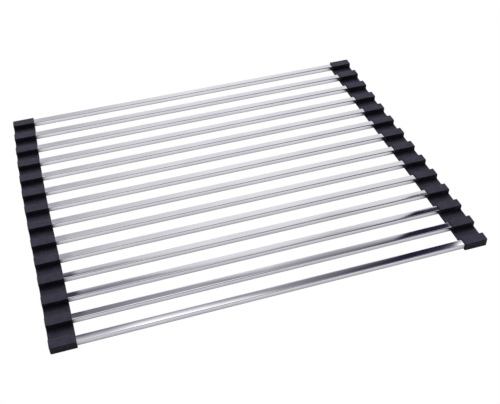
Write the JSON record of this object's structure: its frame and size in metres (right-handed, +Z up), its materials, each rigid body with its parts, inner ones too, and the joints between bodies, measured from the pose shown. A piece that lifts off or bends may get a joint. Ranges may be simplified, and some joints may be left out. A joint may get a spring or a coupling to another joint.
{
  "type": "roll-up dish drying rack",
  "caption": "Flat drying rack of parallel rectangular steel rods held by flexible silicone side strips, which bend at thin webs so that it rolls up.",
  "frame": {"origin": "on the surface that the rack lies on, below its centre", "axes": "+X along the rods to the right-hand strip, +Y from the front row to the back row, +Z up"},
  "size_m": [0.45, 0.3728, 0.0086],
  "materials": {
    "rods": "mirror-polished stainless steel",
    "strips": "matt charcoal silicone"
  },
  "bodies": {
    "row_01": {"rod_01": "rods", "left_link_01": "strips", "right_link_01": "strips"},
    "row_02": {"rod_02": "rods", "left_link_02": "strips", "right_link_02": "strips"},
    "row_03": {"rod_03": "rods", "left_link_03": "strips", "right_link_03": "strips"},
    "row_04": {"rod_04": "rods", "left_link_04": "strips", "right_link_04": "strips"},
    "row_05": {"rod_05": "rods", "left_link_05": "strips", "right_link_05": "strips"},
    "row_06": {"rod_06": "rods", "left_link_06": "strips", "right_link_06": "strips"},
    "row_07": {"rod_07": "rods", "left_link_07": "strips", "right_link_07": "strips"},
    "row_08": {"rod_08": "rods", "left_link_08": "strips", "right_link_08": "strips"},
    "row_09": {"rod_09": "rods", "left_link_09": "strips", "right_link_09": "strips"},
    "row_10": {"rod_10": "rods", "left_link_10": "strips", "right_link_10": "strips"},
    "row_11": {"rod_11": "rods", "left_link_11": "strips", "right_link_11": "strips"},
    "row_12": {"rod_12": "rods", "left_link_12": "strips", "right_link_12": "strips"},
    "row_13": {"rod_13": "rods", "left_link_13": "strips", "right_link_13": "strips"},
    "row_14": {"rod_14": "rods", "left_link_14": "strips", "right_link_14": "strips"}
  },
  "joints": [
    {"name": "roll_01", "type": "hinge", "parent": "row_02", "child": "row_01", "pos_m": [0, -0.1668, 0.0028], "axis": [-1, 0, 0], "range_deg": [0, 38.01]},
    {"name": "roll_02", "type": "hinge", "parent": "row_03", "child": "row_02", "pos_m": [0, -0.139, 0.0028], "axis": [-1, 0, 0], "range_deg": [0, 38.27]},
    {"name": "roll_03", "type": "hinge", "parent": "row_04", "child": "row_03", "pos_m": [0, -0.1112, 0.0028], "axis": [-1, 0, 0], "range_deg": [0, 39.04]},
    {"name": "roll_04", "type": "hinge", "parent": "row_05", "child": "row_04", "pos_m": [0, -0.0834, 0.0028], "axis": [-1, 0, 0], "range_deg": [0, 40.32]},
    {"name": "roll_05", "type": "hinge", "parent": "row_06", "child": "row_05", "pos_m": [0, -0.0556, 0.0028], "axis": [-1, 0, 0], "range_deg": [0, 42.12]},
    {"name": "roll_06", "type": "hinge", "parent": "row_07", "child": "row_06", "pos_m": [0, -0.0278, 0.0028], "axis": [-1, 0, 0], "range_deg": [0, 44.43]},
    {"name": "roll_07", "type": "hinge", "parent": "row_07", "child": "row_08", "pos_m": [0, 0, 0.0028], "axis": [1, 0, 0], "range_deg": [0, 47.25]},
    {"name": "roll_08", "type": "hinge", "parent": "row_08", "child": "row_09", "pos_m": [0, 0.0278, 0.0028], "axis": [1, 0, 0], "range_deg": [0, 50.6]},
    {"name": "roll_09", "type": "hinge", "parent": "row_09", "child": "row_10", "pos_m": [0, 0.0556, 0.0028], "axis": [1, 0, 0], "range_deg": [0, 54.45]},
    {"name": "roll_10", "type": "hinge", "parent": "row_10", "child": "row_11", "pos_m": [0, 0.0834, 0.0028], "axis": [1, 0, 0], "range_deg": [0, 58.82]},
    {"name": "roll_11", "type": "hinge", "parent": "row_11", "child": "row_12", "pos_m": [0, 0.1112, 0.0028], "axis": [1, 0, 0], "range_deg": [0, 63.7]},
    {"name": "roll_12", "type": "hinge", "parent": "row_12", "child": "row_13", "pos_m": [0, 0.139, 0.0028], "axis": [1, 0, 0], "range_deg": [0, 69.1]},
    {"name": "roll_13", "type": "hinge", "parent": "row_13", "child": "row_14", "pos_m": [0, 0.1668, 0.0028], "axis": [1, 0, 0], "range_deg": [0, 75.01]}
  ],
  "couplings": [
    {"joint": "roll_01", "follows": "roll_07", "ratio": 0.80423},
    {"joint": "roll_02", "follows": "roll_07", "ratio": 0.80974},
    {"joint": "roll_03", "follows": "roll_07", "ratio": 0.82603},
    {"joint": "roll_04", "follows": "roll_07", "ratio": 0.85312},
    {"joint": "roll_05", "follows": "roll_07", "ratio": 0.89122},
    {"joint": "roll_06", "follows": "roll_07", "ratio": 0.94011},
    {"joint": "roll_08", "follows": "roll_07", "ratio": 1.0707},
    {"joint": "roll_09", "follows": "roll_07", "ratio": 1.1522},
    {"joint": "roll_10", "follows": "roll_07", "ratio": 1.2447},
    {"joint": "roll_11", "follows": "roll_07", "ratio": 1.3479},
    {"joint": "roll_12", "follows": "roll_07", "ratio": 1.4622},
    {"joint": "roll_13", "follows": "roll_07", "ratio": 1.5873}
  ]
}
